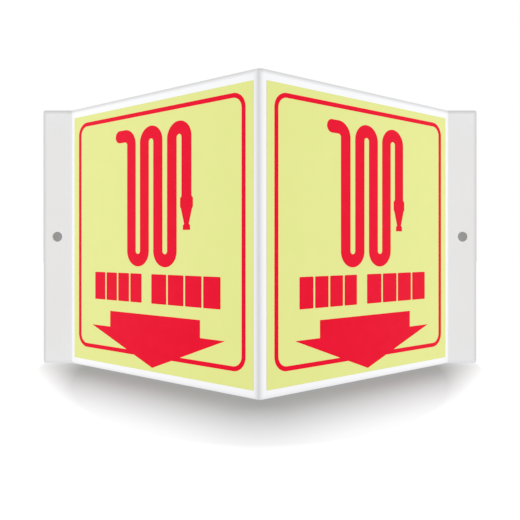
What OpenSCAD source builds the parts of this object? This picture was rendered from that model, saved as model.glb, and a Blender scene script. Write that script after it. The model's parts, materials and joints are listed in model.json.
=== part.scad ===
// A wall sign that projects in a V: one folded plastic sheet with a luminous film and
// a red print on each slanted face.
// X runs along the wall, Y into the wall and Z up. The wall is the plane Y = 0, and the
// origin lies on it, midway between the two fixing holes.

/* [Folded sheet] */
// Height of the sheet
sheet_h = 305; // [270:1:420]
// Thickness of the sheet
sheet_t = 2; // [1:0.1:3]
// Width of each slanted face, from the corner at the flange to the corner at the nose
face_w = 276.5; // [250:0.5:360]
// Angle between each slanted face and the wall
face_angle = 35; // [25:1:50]
// Width of each wall flange
flange_w = 35.5; // [28:0.5:70]
// Radius of the fold at a flange, on the front
crease_r = 2; // [1:0.1:5]
// Radius of the fold at the nose, on the front
nose_r = 6; // [4:0.5:9]
// Radius of the flanges' outer corners
corner_r = 3; // [1:0.5:10]

/* [Fixing holes] */
// Diameter of each fixing hole
hole_d = 12; // [4:0.5:14]
// From the flange's outer edge to the middle of its hole
hole_inset = 17.5; // [12:0.5:20]

/* [Glow film] */
// Thickness of the film
film_t = 0.3; // [0.1:0.05:0.6]
// Bare sheet between the film and the flange's fold
film_crease_margin = 5; // [2:0.5:12]
// Bare sheet between the film and the nose
film_nose_margin = 7.5; // [7:0.5:15]
// Bare sheet above the film
film_top_margin = 10.5; // [2:0.5:20]
// Bare sheet below the film
film_bottom_margin = 8; // [2:0.5:20]

/* [Border line] */
// Thickness of all the print
print_t = 0.1; // [0.05:0.05:0.3]
// Width of the border line
border_stroke = 4.6; // [1:0.1:7]
// Outer radius of the border's corners
border_r = 15; // [8:0.5:30]
// From the film's side edges to the border line
border_side_margin = 8.7; // [2:0.1:12]
// From the film's top edge to the border line
border_top_margin = 8.2; // [2:0.1:14]
// From the film's bottom edge to the border line
border_bottom_margin = 14.9; // [8:0.1:20]

/* [Down arrow] */
// From the film's bottom edge to the arrow's tip
arrow_tip_gap = 4; // [1:0.5:7]
// Height of the arrow's head
arrow_head_h = 38.2; // [25:0.1:45]
// Width of the arrow's head
arrow_head_w = 197.4; // [140:0.1:200]
// Height of the arrow's shaft
arrow_shaft_h = 17.8; // [8:0.1:25]
// Width of the arrow's shaft
arrow_shaft_w = 134.4; // [60:0.1:138]

/* [Caption blocks] */
// From the arrow's top to the blocks
caption_gap = 12.2; // [4:0.1:16]
// Height of the blocks
caption_h = 31.3; // [15:0.1:34]
// Widths of the two groups of blocks
caption_group_w = [77.1, 94.5]; // [40:0.1:110]
// Space between the two groups
caption_space = 15; // [6:0.5:20]
// Blocks in each group
caption_blocks = 4; // [2:1:6]
// Space between the blocks of a group
caption_block_gap = 2.2; // [1:0.1:4]
// Radius of the blocks' corners
caption_r = 1; // [0.3:0.1:3]

/* [Hose symbol] */
// From the film's top edge to the top of the hose
hose_top_margin = 25.2; // [16:0.1:40]
// From the caption to the bottom of the hose
hose_gap = 7.7; // [3:0.1:20]
// Width of the hose's band
hose_d = 13.6; // [8:0.1:16]
// Distance between neighbouring runs of the hose
hose_pitch = 20.3; // [18:0.1:24]
// Straight runs of the hose, an odd number
hose_runs = 5; // [3:2:7]
// Straight stub that leads into the first bend
hose_stub = 8.7; // [2:0.1:20]
// Straight stretch of the last run, above the nozzle
hose_tail = 60; // [30:1:90]

/* [Nozzle of the symbol] */
// Width of the collar
collar_w = 17.5; // [16.5:0.1:20]
// Straight length of the collar
collar_l = 8.5; // [3:0.5:12]
// Length of the slopes above and below the collar
collar_slope = 2.5; // [1:0.1:4]
// Width of the barrel below the collar
barrel_w = 14.8; // [10:0.1:16]
// Length of the tapered barrel
barrel_l = 15; // [8:0.5:18]
// Width of the neck at the barrel's end
neck_w = 6.4; // [3:0.1:9]
// Width of the tip
tip_w = 9.8; // [9.2:0.1:14]
// Length of the tip
tip_l = 4.5; // [2:0.5:6]

/* [Hidden] */
// Straight steps in each half turn of a curve, and in one of the blocks' small corners
half_turn_steps = 24;
small_turn_steps = 8;
// Depth of a cut that passes right through the sheet
through = 4 * sheet_t;

// Half the distance between the flanges' folds, and how far the nose's corner stands out
crease_x = face_w * cos(face_angle);
face_depth = face_w * sin(face_angle);
half_w = crease_x + flange_w;
front_y = -sheet_t - face_depth;
hole_x = half_w - hole_inset;

// The film's own size and the distance from its middle to the flange's fold
film_w = face_w - film_crease_margin - film_nose_margin;
film_h = sheet_h - film_top_margin - film_bottom_margin;
film_mid = film_crease_margin + film_w / 2;

// The print is laid out from the film's bottom middle, upwards
border_w = film_w - 2 * border_side_margin;
border_h = film_h - border_top_margin - border_bottom_margin;
arrow_shoulder = arrow_tip_gap + arrow_head_h;
arrow_top = arrow_shoulder + arrow_shaft_h;
caption_bottom = arrow_top + caption_gap;
caption_w = caption_group_w[0] + caption_space + caption_group_w[1];

// The hose's bends, seen as circles round which its middle line turns
bend_r = hose_pitch / 2;
bend_reach = bend_r + hose_d / 2;
bends_top = film_h - hose_top_margin - bend_reach;
bends_bottom = caption_bottom + caption_h + hose_gap + bend_reach;
symbol_w = hose_d / 2 + hose_stub + bend_r + (hose_runs - 1) * hose_pitch + collar_w / 2;
stub_x = (hose_d - symbol_w) / 2;
first_run_x = stub_x + hose_stub + bend_r;
last_run_x = first_run_x + (hose_runs - 1) * hose_pitch;

LEFT = -1;
RIGHT = 1;

// Points along a circle's arc, from one angle to another
function arc(centre, r, from, to, half_turn = half_turn_steps) =
    let (steps = max(2, ceil(half_turn * abs(to - from) / 180)))
    [for (i = [0 : steps]) let (a = from + (to - from) * i / steps) centre + r * [cos(a), sin(a)]];

function reversed(points) = [for (i = [len(points) - 1 : -1 : 0]) points[i]];

function mirrored(points) = [for (p = points) [-p[0], p[1]]];

// A rectangle with round corners, centred on x = 0 and standing on y = 0
function round_rect(w, h, r, half_turn = half_turn_steps) = concat(
    arc([w / 2 - r, r], r, -90, 0, half_turn),
    arc([w / 2 - r, h - r], r, 0, 90, half_turn),
    arc([r - w / 2, h - r], r, 90, 180, half_turn),
    arc([r - w / 2, r], r, 180, 270, half_turn)
);

// One side of the right crease and flange, at a depth below the sheet's front surface.
// The fold's centre lies in front of the sheet, so the radius grows with the depth.
function flange_line(depth) = concat(
    arc([crease_x + crease_r * tan(face_angle / 2), -sheet_t - crease_r],
        crease_r + depth, 90 + face_angle, 90),
    [[half_w, depth - sheet_t]]
);

// The whole section at that depth, from the left flange's edge to the right one's
function sheet_line(depth) = concat(
    reversed(mirrored(flange_line(depth))),
    arc([0, front_y + nose_r / cos(face_angle)], nose_r - depth, -90 - face_angle, face_angle - 90),
    flange_line(depth)
);

module sheet_section() {
    polygon(concat(sheet_line(0), reversed(sheet_line(sheet_t))));
}

// The sheet seen from the front, which rounds the flanges' corners
module sheet_outline() {
    translate([0, -sheet_h / 2])
        polygon(round_rect(2 * half_w, sheet_h, corner_r));
}

module sign_sheet() {
    color([0.95, 0.95, 0.94])
        difference() {
            intersection() {
                linear_extrude(sheet_h, center = true)
                    sheet_section();
                rotate([90, 0, 0])
                    linear_extrude(3 * (face_depth + sheet_t), center = true)
                        sheet_outline();
            }
            for (side = [LEFT, RIGHT])
                translate([side * hole_x, 0, 0])
                    rotate([90, 0, 0])
                        cylinder(d = hole_d, h = through, center = true, $fn = 96);
        }
}

// Lays a flat drawing on one slanted face: x to the viewer's right, y up from the film's
// bottom edge, and its own z out of the face
module on_face(side) {
    translate([
        side * (crease_x - film_mid * cos(face_angle)),
        -sheet_t - film_mid * sin(face_angle),
        film_bottom_margin - sheet_h / 2
    ])
        rotate([90, 0, side * face_angle])
            children();
}

// A layer of ink on the film of one face
module printed(side) {
    color([0.92, 0.12, 0.2])
        on_face(side)
            translate([0, 0, film_t])
                linear_extrude(print_t)
                    children();
}

module glow_film(side) {
    color([0.91, 0.93, 0.61])
        on_face(side)
            linear_extrude(film_t)
                translate([-film_w / 2, 0])
                    square([film_w, film_h]);
}

module arrow_shape() {
    polygon([
        [0, arrow_tip_gap],
        [arrow_head_w / 2, arrow_shoulder],
        [arrow_shaft_w / 2, arrow_shoulder],
        [arrow_shaft_w / 2, arrow_top],
        [-arrow_shaft_w / 2, arrow_top],
        [-arrow_shaft_w / 2, arrow_shoulder],
        [-arrow_head_w / 2, arrow_shoulder]
    ]);
}

// The frame line, which stops where the arrow crosses it
module border_shape() {
    inner_w = border_w - 2 * border_stroke;
    inner_h = border_h - 2 * border_stroke;
    difference() {
        translate([0, border_bottom_margin])
            polygon(round_rect(border_w, border_h, border_r));
        translate([0, border_bottom_margin + border_stroke])
            polygon(round_rect(inner_w, inner_h, border_r - border_stroke));
        arrow_shape();
    }
}

// One group of equal blocks, in the width given
module block_group(group_w) {
    block_w = (group_w - (caption_blocks - 1) * caption_block_gap) / caption_blocks;
    for (i = [0 : caption_blocks - 1])
        translate([block_w / 2 + i * (block_w + caption_block_gap), 0])
            polygon(round_rect(block_w, caption_h, caption_r, small_turn_steps));
}

module caption_shape() {
    translate([-caption_w / 2, caption_bottom]) {
        block_group(caption_group_w[0]);
        translate([caption_group_w[0] + caption_space, 0])
            block_group(caption_group_w[1]);
    }
}

// One edge of the hose's band, s to the left of its middle line as one walks from the stub
// to the nozzle. A left turn narrows the bend by s and a right turn widens it.
function hose_edge(s) = concat(
    arc([first_run_x - bend_r, bends_top], bend_r + s, 90, 0),
    [for (i = [0 : hose_runs - 2], p =
        let (x = first_run_x + (i + 0.5) * hose_pitch)
        i % 2 == 0
            ? arc([x, bends_bottom], bend_r - s, 180, 360)
            : arc([x, bends_top], bend_r + s, 180, 0)
    ) p]
);

// The right half of the nozzle, from the hose down to the middle of its tip
function nozzle_side() =
    let (
        collar = bends_top - hose_tail,
        barrel = collar - 2 * collar_slope - collar_l,
        neck = barrel - barrel_l,
        tip = neck - (tip_w - neck_w) / 2
    ) [
        [hose_d / 2, collar],
        [collar_w / 2, collar - collar_slope],
        [collar_w / 2, collar - collar_slope - collar_l],
        [barrel_w / 2, barrel],
        [neck_w / 2, neck],
        [tip_w / 2, tip],
        [tip_w / 2, tip - tip_l]
    ];

module hose_shape() {
    nozzle = nozzle_side();
    polygon(concat(
        hose_edge(hose_d / 2),
        [for (p = nozzle) [last_run_x + p[0], p[1]]],
        [for (p = reversed(nozzle)) [last_run_x - p[0], p[1]]],
        reversed(hose_edge(-hose_d / 2)),
        arc([stub_x, bends_top + bend_r], hose_d / 2, 270, 90)
    ));
}

sign_sheet();
glow_film(LEFT);  // left_glow_film
glow_film(RIGHT);  // right_glow_film
printed(LEFT) border_shape();  // left_border_line
printed(RIGHT) border_shape();  // right_border_line
printed(LEFT) hose_shape();  // left_hose_symbol
printed(RIGHT) hose_shape();  // right_hose_symbol
printed(LEFT) caption_shape();  // left_caption_blocks
printed(RIGHT) caption_shape();  // right_caption_blocks
printed(LEFT) arrow_shape();  // left_down_arrow
printed(RIGHT) arrow_shape();  // right_down_arrow
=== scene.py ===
"""Looks for a projecting wall sign: a folded white sheet with a luminous film and red print on each face.

The sheet is drawn flat, as it is before folding, and then folded. Every other piece is drawn flat on
one slanted face. Flat drawings are in metres: the first coordinate runs to the viewer's right, the
second one up, and the third is a height out of the face, or for the sheet a depth below its front.
"""
import json

import bmesh
import bpy
import numpy as np
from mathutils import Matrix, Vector


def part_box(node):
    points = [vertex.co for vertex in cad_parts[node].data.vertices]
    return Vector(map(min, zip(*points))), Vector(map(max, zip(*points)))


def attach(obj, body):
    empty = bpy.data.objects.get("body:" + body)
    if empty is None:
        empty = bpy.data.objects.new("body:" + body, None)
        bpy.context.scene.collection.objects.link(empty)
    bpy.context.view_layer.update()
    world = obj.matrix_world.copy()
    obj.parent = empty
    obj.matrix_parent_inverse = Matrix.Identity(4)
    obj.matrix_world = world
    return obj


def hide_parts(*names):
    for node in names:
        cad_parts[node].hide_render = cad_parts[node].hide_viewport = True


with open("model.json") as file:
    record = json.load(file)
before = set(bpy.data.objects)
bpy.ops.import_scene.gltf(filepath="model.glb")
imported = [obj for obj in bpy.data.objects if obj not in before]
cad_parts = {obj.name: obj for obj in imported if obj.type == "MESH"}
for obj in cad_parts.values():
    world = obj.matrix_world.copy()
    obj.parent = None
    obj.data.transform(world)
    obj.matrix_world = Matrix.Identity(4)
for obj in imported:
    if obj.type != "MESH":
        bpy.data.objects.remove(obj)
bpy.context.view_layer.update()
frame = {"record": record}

MM = 0.001
LEFT = -1
RIGHT = 1
SIDE_NAMES = {LEFT: "left", RIGHT: "right"}

# Folded sheet
FACE_ANGLE = np.radians(35)
FACE_W = 276.5 * MM
SHEET_T = 2 * MM
CREASE_R = 2 * MM
NOSE_R = 6 * MM
CORNER_R = 3 * MM
SHEET_LOW, SHEET_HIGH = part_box("sign_sheet")
CREASE_X = FACE_W * np.cos(FACE_ANGLE)
NOSE_Y = -SHEET_T - FACE_W * np.sin(FACE_ANGLE)

# Lengths over the flat sheet's front, from the nose: where the nose's arc ends, where the crease's arc
# starts and ends, and where the sheet ends. Between the two arcs the face is flat over FACE_FLAT_W.
FACE_FLAT_W = FACE_W - NOSE_R * np.tan(FACE_ANGLE) - CREASE_R * np.tan(FACE_ANGLE / 2)
NOSE_END = FACE_ANGLE * NOSE_R
CREASE_START = NOSE_END + FACE_FLAT_W
CREASE_END = CREASE_START + FACE_ANGLE * CREASE_R
SHEET_END = CREASE_END + SHEET_HIGH.x - (CREASE_X + CREASE_R * np.tan(FACE_ANGLE / 2))

# The sheet's front edge is rolled over this width and depth, and its back edge is only eased
ROLL_W = 2.2 * MM
ROLL_DEPTH = 1.5 * MM
BACK_EASE = 0.3 * MM

# Fixing holes
WALL_HOLES = next(m for m in frame["record"]["mounts"] if m["name"] == "wall_holes")["dims"]
HOLE_X = WALL_HOLES["spacing_x_mm"] * MM / 2
HOLE_R = WALL_HOLES["hole_r_mm"] * MM
HOLE_EASE = 0.35 * MM
# Half the side of the square of sheet that is drawn round a hole instead of crossed by grid lines
HOLE_FIELD = 11 * MM
HOLE_FIELD_STEPS = 12

# Painted shade: the colour darkens along the sheet's cut edge, by these shares at the top, the sides
# and the bottom, fading from the first distance in to the second. The fold's tip is darkened the same
# way, as painted shade on the front: where across the sheet, and how much.
PAINTED_EDGE_SHADE = (1, 0.8, 0.25)
PAINTED_EDGE_SHADE_FROM = 1.6 * MM
PAINTED_EDGE_SHADE_TO = 5 * MM
PAINTED_FOLD_SHADE_AT = (-8 * MM, -2 * MM, -1.2 * MM, 1.6 * MM)
PAINTED_FOLD_SHADE = (0, 0.8, 0.8, 0)

# Film and print
FILM_T = 0.3 * MM
FILM_EASE = 0.1 * MM
FILM_CORNER_R = 0.8 * MM
FILM_CREASE_MARGIN = 5 * MM
FILM_NOSE_MARGIN = 7.5 * MM
PRINT_T = 0.1 * MM
PRINT_EASE = 0.04 * MM
FILM_LOW, FILM_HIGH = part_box("left_glow_film")
FILM_W = FACE_W - FILM_CREASE_MARGIN - FILM_NOSE_MARGIN
FILM_H = FILM_HIGH.z - FILM_LOW.z

# Border line
BORDER_STROKE = 4.6 * MM
BORDER_R = 15 * MM
BORDER_SIDE = 8.7 * MM
BORDER_TOP = 8.2 * MM
BORDER_BOTTOM = 14.9 * MM

# Down arrow
ARROW_TIP = 4 * MM
ARROW_HEAD_H = 38.2 * MM
ARROW_HEAD_W = 197.4 * MM
ARROW_SHAFT_H = 17.8 * MM
ARROW_SHAFT_W = 134.4 * MM
ARROW_SHOULDER = ARROW_TIP + ARROW_HEAD_H
ARROW_TOP = ARROW_SHOULDER + ARROW_SHAFT_H

# Caption blocks
CAPTION_GAP = 12.2 * MM
CAPTION_BOTTOM = ARROW_TOP + CAPTION_GAP
CAPTION_H = 31.3 * MM
CAPTION_GROUP_W = (77.1 * MM, 94.5 * MM)
CAPTION_SPACE = 15 * MM
CAPTION_BLOCKS = 4
CAPTION_BLOCK_GAP = 2.2 * MM
CAPTION_R = 1 * MM

# Hose symbol
HOSE_D = 13.6 * MM
HOSE_PITCH = 20.3 * MM
HOSE_RUNS = 5
HOSE_STUB = 8.7 * MM
HOSE_TAIL = 60 * MM
HOSE_TOP_MARGIN = 25.2 * MM
HOSE_GAP = 7.7 * MM
COLLAR_W = 17.5 * MM
COLLAR_L = 8.5 * MM
COLLAR_SLOPE = 2.5 * MM
BARREL_W = 14.8 * MM
BARREL_L = 15 * MM
NECK_W = 6.4 * MM
TIP_W = 9.8 * MM
TIP_L = 4.5 * MM

# How finely the meshes are stepped, and how they are cleaned
BACK_EASE_STEPS = 3
SHEET_ROLL_STEPS = 8
SHEET_CORNER_STEPS = 10
HOLE_RINGS = 7
HOLE_RIM_STEPS = 4
PLATE_LINES = 3
PLATE_EASE_STEPS = 3
PLATE_CORNER_STEPS = 6
BORDER_CORNER_STEPS = 24
HOSE_END_STEPS = 12
HOSE_BEND_STEPS = 32
LINE_DECIMALS = 8
MERGE_DISTANCE = 0.002 * MM
SHARP_ANGLE = np.radians(32)


def arc(centre, radius, start, end, steps):
    """Points on a circle's arc from one angle to another, in degrees, in equal steps."""
    angle = np.radians(np.linspace(start, end, steps + 1))
    return np.asarray(centre) + radius * np.column_stack([np.cos(angle), np.sin(angle)])


def quarter_profile(width, depth, steps):
    """A quarter of an ellipse as (outward, down) pairs: flat at its start and upright at its end."""
    angle = np.linspace(0, np.pi / 2, steps + 1)
    return np.column_stack([width * np.sin(angle), depth * (1 - np.cos(angle))])


def edge_profile(thickness, reach, roll_w, roll_depth, ease, steps):
    """The section of a plate's edge as (outward, depth) pairs, from its front field to its back field.

    It runs flat to the roll, down a quarter ellipse, straight down the edge, round the eased back
    corner and flat again. reach is how far the edge lies outside the field, and is more than the
    roll's width and the ease.
    """
    front = quarter_profile(roll_w, roll_depth, steps) + [reach - roll_w, 0]
    eased = quarter_profile(ease, ease, BACK_EASE_STEPS)[::-1] * [1, -1]
    back = np.array([reach - ease, thickness]) + eased
    return np.concatenate([[[0, 0]], front, back, [[0, thickness]]])


def strip_faces(rows, columns, closed):
    """Quads between neighbouring rows of points, with the last column joined to the first if closed."""
    cells = columns if closed else columns - 1
    row, column = np.meshgrid(np.arange(rows - 1), np.arange(cells), indexing="ij")
    here = row * columns + column
    beside = row * columns + (column + 1) % columns
    return np.stack([here, beside, beside + columns, here + columns], -1).reshape(-1, 4)


def swept_edge(base, outward, profile):
    """A profile carried round a closed path: each base point steps outwards and down by its pairs."""
    flat = base[None] + profile[:, None, :1] * outward[None]
    depth = np.broadcast_to(profile[:, 1][:, None], flat.shape[:2])
    points = np.concatenate([flat, depth[..., None]], -1).reshape(-1, 3)
    return points, strip_faces(len(profile), len(base), True)


def plate(across, up, thickness, profile, corner_steps, hole_centres=(), hole_r=0):
    """A rectangular plate with round corners and a shaped edge, as points (across, up, depth) and faces.

    The field is the grid of the lines given, drawn at depth 0 and again at the full thickness. Its
    edge is the profile swept round the field: along each side it steps straight out, and at each
    corner it fans out through a quarter turn, so the corner's radius is the profile's reach.
    Round each hole's centre the grid is left open, and a ring of quads runs from the square to the
    hole's eased rim and down its wall.
    """
    columns, rows = len(across), len(up)
    grid = np.stack(np.meshgrid(across, up, indexing="xy"), -1).reshape(-1, 2)
    cells = strip_faces(rows, columns, False)
    middle = grid[cells].mean(1)
    kept = np.ones(len(cells), bool)
    for centre in hole_centres:
        kept &= np.abs(middle - centre).max(1) > HOLE_FIELD
    cells = cells[kept]
    front = np.column_stack([grid, np.zeros(len(grid))])
    back = np.column_stack([grid, np.full(len(grid), thickness)])
    parts = [(front, cells), (back, cells[:, ::-1])]

    base, outward = [], []
    sides = (
        (np.column_stack([across, np.full(columns, up[0])]), -90),
        (np.column_stack([np.full(rows, across[-1]), up]), 0),
        (np.column_stack([across[::-1], np.full(columns, up[-1])]), 90),
        (np.column_stack([np.full(rows, across[0]), up[::-1]]), 180),
    )
    for line, angle in sides:
        fan = arc((0, 0), 1, angle, angle + 90, corner_steps)
        base += [line, np.broadcast_to(line[-1], (corner_steps - 1, 2))]
        outward += [np.broadcast_to(fan[0], line.shape), fan[1:-1]]
    parts.append(swept_edge(np.concatenate(base), np.concatenate(outward), profile))
    parts += [hole_ring(centre, hole_r, thickness) for centre in hole_centres]
    return join(parts)


def hole_ring(centre, radius, thickness):
    """The sheet between a hole and the square left open round it, front and back, with the hole's wall.

    Each point of the square is joined straight to the point of the circle in the same direction,
    and the rings between them pass from square to round. The rim turns down a quarter circle.
    """
    side = np.linspace(-1, 1, HOLE_FIELD_STEPS + 1)[:-1]
    one = np.ones_like(side)
    square = HOLE_FIELD * np.concatenate([
        np.column_stack([side, -one]),
        np.column_stack([one, side]),
        np.column_stack([-side, one]),
        np.column_stack([-one, -side]),
    ])
    ray = square / np.linalg.norm(square, axis=1)[:, None]
    rim = radius + HOLE_EASE
    share = np.linspace(0, 1, HOLE_RINGS)[:, None, None]
    face = square * (1 - share) + ray * rim * share
    turn = quarter_profile(HOLE_EASE, HOLE_EASE, HOLE_RIM_STEPS)[1:]
    upper = ray[None] * (rim - turn[:, :1])[:, None]
    flat = np.concatenate([face, upper, upper[::-1], face[::-1]]) + centre
    depth = np.concatenate([
        np.zeros(HOLE_RINGS),
        turn[:, 1],
        thickness - turn[::-1, 1],
        np.full(HOLE_RINGS, thickness),
    ])
    points = np.concatenate([flat, np.broadcast_to(depth[:, None, None], (*flat.shape[:2], 1))], -1)
    return points.reshape(-1, 3), strip_faces(len(flat), len(square), True)[:, ::-1]


def join(parts):
    """Several (points, faces) parts as one."""
    points, faces, offset = [], [], 0
    for part_points, part_faces in parts:
        points.append(part_points)
        faces += (np.asarray(part_faces) + offset).tolist()
        offset += len(part_points)
    return np.concatenate(points), faces


def fold(flat):
    """Folds the flat sheet: (across, up, depth below the front) becomes a place in the part's frame.

    Half of the length across, from the nose, is in turn an arc about the nose's inner centre, a
    straight face, an arc the other way about the crease's outer centre, and a straight flange.
    A depth is taken off along the front's normal, and the left half mirrors the right one.
    """
    length, up, depth = np.abs(flat[:, 0]), flat[:, 1], flat[:, 2]
    turned = np.clip(length, 0, NOSE_END) / NOSE_R
    turned = turned - np.clip(length - CREASE_START, 0, CREASE_END - CREASE_START) / CREASE_R
    normal = np.column_stack([np.sin(turned), -np.cos(turned)])
    along_face = np.clip(length - NOSE_END, 0, FACE_FLAT_W)[:, None]
    along_flange = np.clip(length - CREASE_END, 0, None)[:, None]
    nose_centre = np.array([0, NOSE_Y + NOSE_R / np.cos(FACE_ANGLE)])
    face_normal = np.array([np.sin(FACE_ANGLE), -np.cos(FACE_ANGLE)])
    face_right = np.array([np.cos(FACE_ANGLE), np.sin(FACE_ANGLE)])
    face_end = nose_centre + NOSE_R * face_normal + FACE_FLAT_W * face_right
    crease_centre = face_end + CREASE_R * face_normal
    before_crease = nose_centre + NOSE_R * normal + along_face * face_right
    past_crease = crease_centre - CREASE_R * normal + along_flange * [1, 0]
    place = np.where(length[:, None] < CREASE_START, before_crease, past_crease) - depth[:, None] * normal
    return np.column_stack([np.where(flat[:, 0] < 0, -1, 1) * place[:, 0], place[:, 1], up])


def on_face(side, flat):
    """Lays a flat drawing on a slanted face: right along the face, up, and height out along its normal."""
    film_mid = FILM_CREASE_MARGIN + FILM_W / 2
    cos, sin = np.cos(FACE_ANGLE), np.sin(FACE_ANGLE)
    origin = np.array([side * (CREASE_X - film_mid * cos), -SHEET_T - film_mid * sin, FILM_LOW.z])
    right = np.array([cos, side * sin, 0])
    up = np.array([0, 0, 1])
    out = np.array([side * sin, -cos, 0])
    return origin + flat[:, :1] * right + flat[:, 1:2] * up + flat[:, 2:] * out


def add_piece(name, node, material, points, faces, painted_shade=None):
    """One mesh object in the part's frame that stands for a CAD node, with its doubles merged."""
    mesh = bpy.data.meshes.new(name)
    mesh.from_pydata(points.tolist(), [], faces)
    # The sheet's painted shade rides along as a point attribute that its material reads.
    if painted_shade is not None:
        mesh.attributes.new("painted_shade", "FLOAT", "POINT").data.foreach_set("value", painted_shade)
    piece = bpy.data.objects.new(name, mesh)
    bpy.context.scene.collection.objects.link(piece)
    clean(mesh)
    mesh.materials.append(material)
    mesh.shade_smooth()
    mesh.set_sharp_from_angle(angle=SHARP_ANGLE)
    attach(piece, "root")
    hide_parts(node)
    return piece


def clean(mesh):
    """Merges coincident points and turns every face outwards."""
    work = bmesh.new()
    work.from_mesh(mesh)
    bmesh.ops.remove_doubles(work, verts=work.verts, dist=MERGE_DISTANCE)
    bmesh.ops.recalc_face_normals(work, faces=work.faces)
    work.to_mesh(mesh)
    work.free()


def lines(*stretches):
    """Grid lines over several stretches of (start, end, steps), each place once and in order."""
    places = np.concatenate([np.linspace(start, end, steps + 1) for start, end, steps in stretches])
    return np.unique(np.round(places, LINE_DECIMALS))


def sheet_piece(material):
    """The folded sheet: a flat plate with two holes and a rolled front edge, then folded.

    Its grid lines are drawn for half of the sheet and mirrored. A point's painted shade is the largest of
    four: each cut edge's amount, faded by the distance from it, and the fold's tip on the front.
    """
    hole_at = SHEET_END - (SHEET_HIGH.x - HOLE_X)
    half = lines(
        (0, NOSE_END, 10),
        (NOSE_END, FILM_NOSE_MARGIN, 4),
        (FILM_NOSE_MARGIN, CREASE_START, 18),
        (CREASE_START, CREASE_END, 8),
        (CREASE_END, hole_at - HOLE_FIELD, 2),
        (hole_at - HOLE_FIELD, hole_at + HOLE_FIELD, HOLE_FIELD_STEPS),
        (SHEET_END - PAINTED_EDGE_SHADE_TO, SHEET_END - CORNER_R, 2),
    )
    upper = lines(
        (0, HOLE_FIELD, HOLE_FIELD_STEPS // 2),
        (HOLE_FIELD, SHEET_HIGH.z - PAINTED_EDGE_SHADE_TO, 10),
        (SHEET_HIGH.z - PAINTED_EDGE_SHADE_TO, SHEET_HIGH.z - CORNER_R, 2),
    )
    across = np.concatenate([-half[:0:-1], half])
    up = np.concatenate([-upper[:0:-1], upper])
    profile = edge_profile(SHEET_T, CORNER_R, ROLL_W, ROLL_DEPTH, BACK_EASE, SHEET_ROLL_STEPS)
    centres = [np.array([side * hole_at, 0.0]) for side in (LEFT, RIGHT)]
    points, faces = plate(across, up, SHEET_T, profile, SHEET_CORNER_STEPS, centres, HOLE_R)
    # Painted shade: the colour darkens near each cut edge, most at the top and least at the bottom.
    insets = (
        SHEET_HIGH.z - points[:, 1],
        SHEET_END - np.abs(points[:, 0]),
        points[:, 1] - SHEET_LOW.z,
    )
    painted_shades = [
        amount * np.interp(inset, (PAINTED_EDGE_SHADE_FROM, PAINTED_EDGE_SHADE_TO), (1, 0))
        for inset, amount in zip(insets, PAINTED_EDGE_SHADE)
    ]
    # Painted shade along the fold's tip, on the front only.
    painted_shades.append(np.interp(points[:, 0], PAINTED_FOLD_SHADE_AT, PAINTED_FOLD_SHADE) * (points[:, 2] < ROLL_DEPTH))
    painted_shade = np.max(painted_shades, 0)
    return add_piece("folded_sheet", "sign_sheet", material, fold(points), faces, painted_shade)


def raised_plate(low, high, bottom, thickness, corner_r, ease):
    """A thin plate with round corners lying on the face, as (right, up, height) points and faces."""
    across = np.linspace(low[0] + corner_r, high[0] - corner_r, PLATE_LINES)
    up = np.linspace(low[1] + corner_r, high[1] - corner_r, PLATE_LINES)
    profile = edge_profile(thickness, corner_r, ease, ease, ease / 4, PLATE_EASE_STEPS)
    points, faces = plate(across, up, thickness, profile, PLATE_CORNER_STEPS)
    return np.column_stack([points[:, :2], bottom + thickness - points[:, 2]]), faces


def film_piece(side, material):
    """The luminous film: one thin plate with eased edges."""
    name = SIDE_NAMES[side]
    low, high = (-FILM_W / 2, 0), (FILM_W / 2, FILM_H)
    points, faces = raised_plate(low, high, 0, FILM_T, FILM_CORNER_R, FILM_EASE)
    placed = on_face(side, points)
    return add_piece(name + "_film", name + "_glow_film", material, placed, faces)


def print_piece(side, node, material, points, faces):
    """A printed shape on one face, named and placed for its side."""
    name = SIDE_NAMES[side] + "_" + node
    return add_piece(name + "_print", name, material, on_face(side, points), faces)


def caption_piece(side, material):
    """Two groups of equal plain blocks in one row."""
    start = -(sum(CAPTION_GROUP_W) + CAPTION_SPACE) / 2
    parts = []
    for group_w in CAPTION_GROUP_W:
        block_w = (group_w - (CAPTION_BLOCKS - 1) * CAPTION_BLOCK_GAP) / CAPTION_BLOCKS
        for i in range(CAPTION_BLOCKS):
            x = start + i * (block_w + CAPTION_BLOCK_GAP)
            low, high = (x, CAPTION_BOTTOM), (x + block_w, CAPTION_BOTTOM + CAPTION_H)
            parts.append(raised_plate(low, high, FILM_T, PRINT_T, CAPTION_R, PRINT_EASE))
        start += group_w + CAPTION_SPACE
    points, faces = join(parts)
    return print_piece(side, "caption_blocks", material, points, faces)


def band(left_edge, right_edge):
    """A flat band of ink between two edges with as many points each, as (right, up, height) and faces.

    Its section rises at one edge, runs over the top with both shoulders eased, and falls at the
    other edge. The first and last sections are closed by a face each, and so is the underside.
    """
    across = right_edge - left_edge
    unit = across / np.linalg.norm(across, axis=1)[:, None]
    top = FILM_T + PRINT_T
    section = ((0, FILM_T), (0, top - PRINT_EASE), (1, top))
    rails = [(left_edge + unit * PRINT_EASE * step, height) for step, height in section]
    rails += [(right_edge - unit * PRINT_EASE * step, height) for step, height in section[::-1]]
    points = np.stack([np.column_stack([rail, np.full(len(rail), height)]) for rail, height in rails], 1)
    count, size = len(left_edge), len(rails)
    faces = strip_faces(count, size, True).tolist()
    faces += [list(range(size)), [(count - 1) * size + i for i in range(size)]]
    return points.reshape(-1, 3), faces


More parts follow.
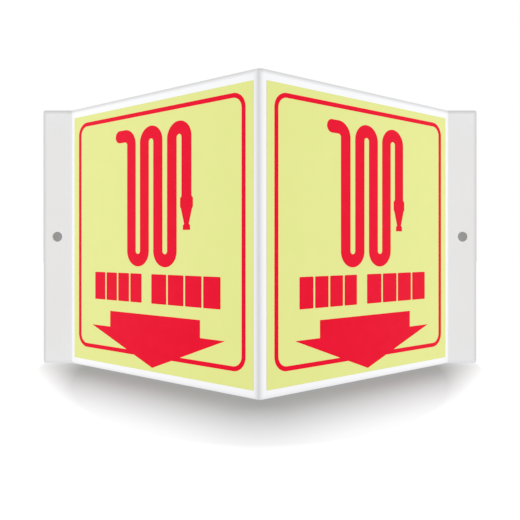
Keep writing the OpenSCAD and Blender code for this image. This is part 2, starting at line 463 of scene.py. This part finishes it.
def border_piece(side, material):
    """The border line: a band round a rectangle with round corners, cut off along the arrow's head.

    Each edge starts where the arrow's slanted side crosses its own height, runs round the border,
    and ends at the mirrored place.
    """

    def edge(inset):
        right, bottom = FILM_W / 2 - BORDER_SIDE - inset, BORDER_BOTTOM + inset
        top, radius = FILM_H - BORDER_TOP - inset, BORDER_R - inset
        cut = (bottom - ARROW_TIP) / ARROW_HEAD_H * ARROW_HEAD_W / 2
        half = np.concatenate([
            [[cut, bottom]],
            arc((right - radius, bottom + radius), radius, -90, 0, BORDER_CORNER_STEPS),
            arc((right - radius, top - radius), radius, 0, 90, BORDER_CORNER_STEPS),
        ])
        return np.concatenate([half, half[::-1] * [-1, 1]])

    points, faces = band(edge(0), edge(BORDER_STROKE))
    return print_piece(side, "border_line", material, points, faces)


def hose_piece(side, material):
    """The hose symbol: one band of constant width along straight runs and round bends, then the nozzle.

    An edge at s to the left of the middle line has bends of radius r - s on a left turn and r + s on
    a right turn. The stub's round end is a half circle split between the two edges.
    """
    bend_r = HOSE_PITCH / 2
    reach = bend_r + HOSE_D / 2
    top = FILM_H - HOSE_TOP_MARGIN - reach
    bottom = CAPTION_BOTTOM + CAPTION_H + HOSE_GAP + reach
    width = HOSE_D / 2 + HOSE_STUB + bend_r + (HOSE_RUNS - 1) * HOSE_PITCH + COLLAR_W / 2
    stub_x = (HOSE_D - width) / 2
    first_x = stub_x + HOSE_STUB + bend_r
    last_x = first_x + (HOSE_RUNS - 1) * HOSE_PITCH
    collar = top - HOSE_TAIL
    barrel = collar - 2 * COLLAR_SLOPE - COLLAR_L
    neck = barrel - BARREL_L
    tip = neck - (TIP_W - NECK_W) / 2
    nozzle = np.array([
        [HOSE_D / 2, collar],
        [COLLAR_W / 2, collar - COLLAR_SLOPE],
        [COLLAR_W / 2, collar - COLLAR_SLOPE - COLLAR_L],
        [BARREL_W / 2, barrel],
        [NECK_W / 2, neck],
        [TIP_W / 2, tip],
        [TIP_W / 2, tip - TIP_L],
    ])

    def edge(turn):
        s = turn * HOSE_D / 2
        parts = [
            arc((stub_x, top + bend_r), HOSE_D / 2, 180, 180 - 90 * turn, HOSE_END_STEPS),
            arc((first_x - bend_r, top), bend_r + s, 90, 0, HOSE_BEND_STEPS // 2),
        ]
        for i in range(HOSE_RUNS - 1):
            x = first_x + (i + 0.5) * HOSE_PITCH
            if i % 2 == 0:
                parts.append(arc((x, bottom), bend_r - s, 180, 360, HOSE_BEND_STEPS))
            else:
                parts.append(arc((x, top), bend_r + s, 180, 0, HOSE_BEND_STEPS))
        parts.append(nozzle * [turn, 1] + [last_x, 0])
        return np.concatenate(parts)[1:]

    points, faces = band(edge(1), edge(-1))
    return print_piece(side, "hose_symbol", material, points, faces)


def arrow_piece(side, material):
    """The down arrow: an outline of seven points, with its upper edge eased.

    Each point steps inwards along both neighbouring sides' normals, by n / (1 + a . b) with n the
    sum of the unit normals a and b, so that both sides move in by the same ease.
    """
    half_head, half_shaft = ARROW_HEAD_W / 2, ARROW_SHAFT_W / 2
    outline = np.array([
        [0, ARROW_TIP],
        [half_head, ARROW_SHOULDER],
        [half_shaft, ARROW_SHOULDER],
        [half_shaft, ARROW_TOP],
        [-half_shaft, ARROW_TOP],
        [-half_shaft, ARROW_SHOULDER],
        [-half_head, ARROW_SHOULDER],
    ])
    head, shaft = (0, 1, 2, 5, 6), (2, 3, 4, 5)
    along = np.roll(outline, -1, 0) - outline
    along /= np.linalg.norm(along, axis=1)[:, None]
    normal = np.column_stack([-along[:, 1], along[:, 0]])
    before = np.roll(normal, 1, 0)
    inward = (normal + before) / (1 + np.sum(normal * before, 1))[:, None]
    top = FILM_T + PRINT_T
    count = len(outline)
    rings = [
        np.column_stack([outline + inward * step, np.full(count, height)])
        for step, height in ((0, FILM_T), (0, top - PRINT_EASE), (PRINT_EASE, top))
    ]
    faces = strip_faces(len(rings), count, True).tolist()
    for start in (0, (len(rings) - 1) * count):
        faces += [[start + i for i in head], [start + i for i in shaft]]
    return print_piece(side, "down_arrow", material, np.concatenate(rings), faces)


# Looks. Colours are in linear light, and each pair holds the two values that a surface wanders between.
WHITE = (1, 1, 1, 1)
SHEET_COLOURS = ((0.929, 0.932, 0.949, 1), (0.941, 0.944, 0.961, 1))
# The grey that the painted shade on the sheet's edge and fold tip darkens towards.
PAINTED_SHADE_COLOUR = (0.70, 0.70, 0.70, 1)
SHEET_ROUGHNESS = (0.4, 0.48)
SHEET_GRAIN_H = 0.03 * MM
SHEET_WAVE_H = 1.2 * MM
FILM_COLOURS = ((0.76, 0.797, 0.253, 1), (0.775, 0.81, 0.265, 1))
FILM_GRAIN_COLOURS = ((0.775, 0.81, 0.275, 1), (0.79, 0.82, 0.285, 1))
FILM_ROUGHNESS = (0.42, 0.52)
FILM_GRAIN_H = 0.01 * MM
INK_COLOURS = ((0.825, 0.001, 0.025, 1), (0.86, 0.002, 0.031, 1))
INK_ROUGHNESS = (0.36, 0.46)
INK_MARK_H = 0.01 * MM


class Nodes:
    """A material's nodes, made and linked in few words."""

    def __init__(self, name):
        self.material = bpy.data.materials.new(name)
        self.material.use_nodes = True
        self.tree = self.material.node_tree
        self.tree.nodes.clear()

    def add(self, kind, values=None, **settings):
        """A node of that kind, with its settings and its inputs' values or links."""
        node = self.tree.nodes.new("ShaderNode" + kind)
        for key, value in settings.items():
            setattr(node, key, value)
        for socket, value in (values or {}).items():
            if isinstance(value, bpy.types.NodeSocket):
                self.tree.links.new(value, node.inputs[socket])
            else:
                node.inputs[socket].default_value = value
        return node

    def place(self):
        """The place on the object, in metres."""
        return self.add("TexCoord").outputs["Object"]

    def noise(self, scale, detail, roughness=0.5):
        """Noise of about 1/scale metres."""
        inputs = {"Vector": self.place(), "Scale": scale, "Detail": detail, "Roughness": roughness}
        return self.add("TexNoise", inputs).outputs["Fac"]

    def remap(self, value, low, high, to_low=0, to_high=1):
        """A value moved from one range to another, and kept within it."""
        inputs = {"Value": value, "From Min": low, "From Max": high, "To Min": to_low, "To Max": to_high}
        return self.add("MapRange", inputs).outputs["Result"]

    def mix(self, factor, first, second):
        """A colour between two colours. The node's colour sockets are inputs 6 and 7 and output 2."""
        return self.add("Mix", {0: factor, 6: first, 7: second}, data_type="RGBA").outputs[2]

    def bump(self, height, distance, strength, normal=None):
        """A bump of that height in metres, on the plain surface or on another bump."""
        inputs = {"Height": height, "Distance": distance, "Strength": strength}
        if normal is not None:
            inputs["Normal"] = normal
        return self.add("Bump", inputs).outputs["Normal"]

    def satin(self, colour, roughness, normal, ior, specular):
        """The material of a satin surface, finished."""
        shader = self.add("BsdfPrincipled", {
            "Base Color": colour,
            "Roughness": roughness,
            "Normal": normal,
            "IOR": ior,
            "Specular IOR Level": specular,
        })
        return self.finish(shader.outputs[0])

    def one_sided(self, front):
        """The material of a stage surface, which shows on its front and is clear from behind."""
        clear = self.add("BsdfTransparent").outputs[0]
        behind = self.add("NewGeometry").outputs["Backfacing"]
        return self.finish(self.add("MixShader", {0: behind, 1: front, 2: clear}).outputs[0])

    def finish(self, shader):
        """Links the shader to the output and returns the material."""
        self.add("OutputMaterial", {"Surface": shader})
        return self.material


def sheet_material():
    """Satin white plastic: even colour with the faintest clouding, painted shade along its cut edge and fold
    tip, and a fine calendered texture.
    """
    n = Nodes("white_plastic")
    clouding = n.remap(n.noise(scale=9, detail=2), 0.35, 0.65)
    # Painted shade: the colour is drawn towards grey by the sheet's attribute.
    painted_shade = n.add("Attribute", attribute_name="painted_shade").outputs["Fac"]
    colour = n.mix(painted_shade, n.mix(clouding, *SHEET_COLOURS), PAINTED_SHADE_COLOUR)
    roughness = n.remap(n.noise(scale=60, detail=4), 0.3, 0.7, *SHEET_ROUGHNESS)
    grain = n.bump(n.noise(scale=1400, detail=2), SHEET_GRAIN_H, 0.5)
    waviness = n.bump(n.noise(scale=14, detail=1), SHEET_WAVE_H, 0.25, grain)
    return n.satin(colour, roughness, waviness, ior=1.5, specular=0.3)


def film_material():
    """Luminous film: pale yellow-green with pigment grains under a satin face."""
    n = Nodes("luminous_film")
    grains = n.remap(n.noise(scale=2600, detail=2, roughness=0.6), 0.42, 0.62)
    patches = n.remap(n.noise(scale=45, detail=3), 0.3, 0.7)
    colour = n.mix(grains, n.mix(patches, *FILM_COLOURS), n.mix(patches, *FILM_GRAIN_COLOURS))
    roughness = n.remap(grains, 0, 1, *FILM_ROUGHNESS)
    relief = n.bump(grains, FILM_GRAIN_H, 0.35)
    return n.satin(colour, roughness, relief, ior=1.45, specular=0.3)


def ink_material():
    """Red screen-printed ink: dense, a little uneven, with a finer gloss than the film."""
    n = Nodes("red_ink")
    density = n.remap(n.noise(scale=75, detail=4), 0.3, 0.7)
    mesh_marks = n.remap(n.noise(scale=1900, detail=2), 0.35, 0.65)
    colour = n.mix(density, *INK_COLOURS)
    roughness = n.remap(mesh_marks, 0, 1, *INK_ROUGHNESS)
    relief = n.bump(mesh_marks, INK_MARK_H, 0.4)
    return n.satin(colour, roughness, relief, ior=1.45, specular=0.05)


# Camera: level, in front of the nose and a little below the sheet's middle
PHOTO_SIDE = 520
FOCAL_PX = 545.3
HORIZON_Y = 245.4
CAMERA_DISTANCE = 657.4 * MM
CAMERA_DROP = 10.5 * MM
SENSOR = 36


def make_camera():
    """A level camera along +Y. Its view is shifted down, because the horizon is above the photo's middle."""
    data = bpy.data.cameras.new("camera")
    data.sensor_width = SENSOR
    data.lens = FOCAL_PX / PHOTO_SIDE * SENSOR
    data.shift_y = (HORIZON_Y - PHOTO_SIDE / 2) / PHOTO_SIDE
    camera = bpy.data.objects.new("camera", data)
    camera.location = (0, -SHEET_T - CAMERA_DISTANCE, -CAMERA_DROP)
    camera.rotation_euler = (np.pi / 2, 0, 0)
    bpy.context.scene.collection.objects.link(camera)
    bpy.context.scene.camera = camera


# Stage: a white floor under the sign, and close behind each hole a grey patch, which is painted shade:
# it shows through the hole as the shade behind the sheet. The floor's own glow grows from the first level
# to the far one between two distances from the frame's origin, which are measured after each place on
# the floor is multiplied by the squeeze.
FLOOR_HALF = 4
FLOOR_SHADE = (0.1185, 0.1185, 0.1215, 1)
FLOOR_GLOW = 0.285
FLOOR_FAR_GLOW = 0.95
FLOOR_GLOW_AT = (0.334, 0.421)
FLOOR_GLOW_SQUEEZE = (1.44, 1.1, 1)
PATCH_HALF = 10 * MM
PATCH_Y = 0.5 * MM
# The patches' grey, which is painted shade.
PATCH_PAINTED_SHADE = (0.4, 0.4, 0.4, 1)


def floor_material():
    """White for the camera: matt, so that it keeps the shadow, with a glow that grows away from the sign."""
    n = Nodes("white_floor")
    matt = n.add("BsdfDiffuse", {"Color": FLOOR_SHADE})
    places = {0: n.place(), 1: FLOOR_GLOW_SQUEEZE}
    squeezed = n.add("VectorMath", places, operation="MULTIPLY").outputs["Vector"]
    away = n.add("VectorMath", {0: squeezed}, operation="LENGTH").outputs["Value"]
    glow = n.remap(away, *FLOOR_GLOW_AT, FLOOR_GLOW, FLOOR_FAR_GLOW)
    light = n.add("Emission", {"Color": WHITE, "Strength": glow})
    front = n.add("AddShader", {0: matt.outputs[0], 1: light.outputs[0]})
    return n.one_sided(front.outputs[0])


def patch_material():
    """Painted shade: a grey patch that shows through a hole as the shade behind the sheet."""
    n = Nodes("painted_shade_grey_patch")
    return n.one_sided(n.add("BsdfDiffuse", {"Color": PATCH_PAINTED_SHADE}).outputs[0])


def stage_plane(name, corners, material):
    """One flat stage surface that only the camera sees."""
    mesh = bpy.data.meshes.new(name)
    mesh.from_pydata(corners, [], [(0, 1, 2, 3)])
    mesh.materials.append(material)
    plane = bpy.data.objects.new(name, mesh)
    bpy.context.scene.collection.objects.link(plane)
    plane.visible_diffuse = False
    plane.visible_glossy = False
    plane.visible_transmission = False
    plane.visible_shadow = False
    return plane


def make_stage():
    """The floor that the sign stands on, and the patches behind its holes."""
    half, z = FLOOR_HALF, SHEET_LOW.z
    floor = [(-half, -half, z), (half, -half, z), (half, half, z), (-half, half, z)]
    # Painted shade: grey patches close behind the holes.
    painted_shade_grey_patch = patch_material()
    for side in (LEFT, RIGHT):
        x, y, r = side * HOLE_X, PATCH_Y, PATCH_HALF
        patch = [(x - r, y, -r), (x + r, y, -r), (x + r, y, r), (x - r, y, r)]
        stage_plane(SIDE_NAMES[side] + "_painted_shade_patch", patch, painted_shade_grey_patch)
    return stage_plane("floor", floor, floor_material())


# Light: an even world, a soft lamp on the sign at each side, and a wide lamp high overhead that lights
# the floor alone and throws its shadow. Lengths are in metres, angles in degrees and powers in watts.
WORLD_LEVEL = 0.77
SIDE_LAMP_AZIMUTH = 80
SIDE_LAMP_ELEVATION = 5
SIDE_LAMP_DISTANCE = 3
SIDE_LAMP_SIZE = (2, 2.2)
SIDE_LAMP_POWER = 30
FLOOR_LAMP_AT = (0, 1.5, 6)
FLOOR_LAMP_SIZE = (1.25, 2.4)
FLOOR_LAMP_POWER = 2450


def make_world():
    """White where the camera sees it or a surface shows it, and a soft even light for the rest."""
    world = bpy.data.worlds.new("world")
    world.use_nodes = True
    tree = world.node_tree
    tree.nodes.clear()
    soft = tree.nodes.new("ShaderNodeBackground")
    soft.inputs["Strength"].default_value = WORLD_LEVEL
    white = tree.nodes.new("ShaderNodeBackground")
    for background in (soft, white):
        background.inputs["Color"].default_value = WHITE
    mix = tree.nodes.new("ShaderNodeMixShader")
    path = tree.nodes.new("ShaderNodeLightPath")
    output = tree.nodes.new("ShaderNodeOutputWorld")
    seen = path.outputs["Is Camera Ray"]
    for kind in ("Is Glossy Ray", "Is Transmission Ray"):
        either = tree.nodes.new("ShaderNodeMath")
        either.operation = "MAXIMUM"
        tree.links.new(seen, either.inputs[0])
        tree.links.new(path.outputs[kind], either.inputs[1])
        seen = either.outputs[0]
    tree.links.new(seen, mix.inputs[0])
    tree.links.new(soft.outputs[0], mix.inputs[1])
    tree.links.new(white.outputs[0], mix.inputs[2])
    tree.links.new(mix.outputs[0], output.inputs["Surface"])
    bpy.context.scene.world = world


def link_lamp(lamp, objects):
    """Makes a lamp light only those objects. Everything still blocks it."""
    group = bpy.data.collections.new(lamp.name + "_receivers")
    for thing in objects:
        group.objects.link(thing)
    lamp.light_linking.receiver_collection = group


def area_lamp(name, size, power, place, receivers):
    """A rectangular lamp that faces downwards until it is turned."""
    data = bpy.data.lights.new(name, "AREA")
    data.shape = "RECTANGLE"
    data.size, data.size_y = size
    data.energy = power
    lamp = bpy.data.objects.new(name, data)
    lamp.location = place
    bpy.context.scene.collection.objects.link(lamp)
    link_lamp(lamp, receivers)
    return lamp


def make_lamps(pieces, floor):
    """Soft side lamps for the sign, turned to its middle, and the floor's own lamp overhead."""
    middle = Vector((0, NOSE_Y / 2, 0))
    rise = np.radians(SIDE_LAMP_ELEVATION)
    for side in (LEFT, RIGHT):
        turn = side * np.radians(SIDE_LAMP_AZIMUTH)
        back = Vector((np.sin(turn) * np.cos(rise), -np.cos(turn) * np.cos(rise), np.sin(rise)))
        place = middle + back * SIDE_LAMP_DISTANCE
        lamp = area_lamp(SIDE_NAMES[side] + "_lamp", SIDE_LAMP_SIZE, SIDE_LAMP_POWER, place, pieces)
        lamp.rotation_euler = (-back).to_track_quat("-Z", "Y").to_euler()
    area_lamp("floor_lamp", FLOOR_LAMP_SIZE, FLOOR_LAMP_POWER, FLOOR_LAMP_AT, [floor])


make_camera()
make_world()
stage_floor = make_stage()

white_plastic = sheet_material()
luminous_film = film_material()
red_ink = ink_material()

sign_pieces = [sheet_piece(white_plastic)]
for face_side in (LEFT, RIGHT):
    sign_pieces += [
        film_piece(face_side, luminous_film),
        border_piece(face_side, red_ink),
        hose_piece(face_side, red_ink),
        caption_piece(face_side, red_ink),
        arrow_piece(face_side, red_ink),
    ]
make_lamps(sign_pieces, stage_floor)

bpy.context.scene.view_settings.view_transform = "Standard"
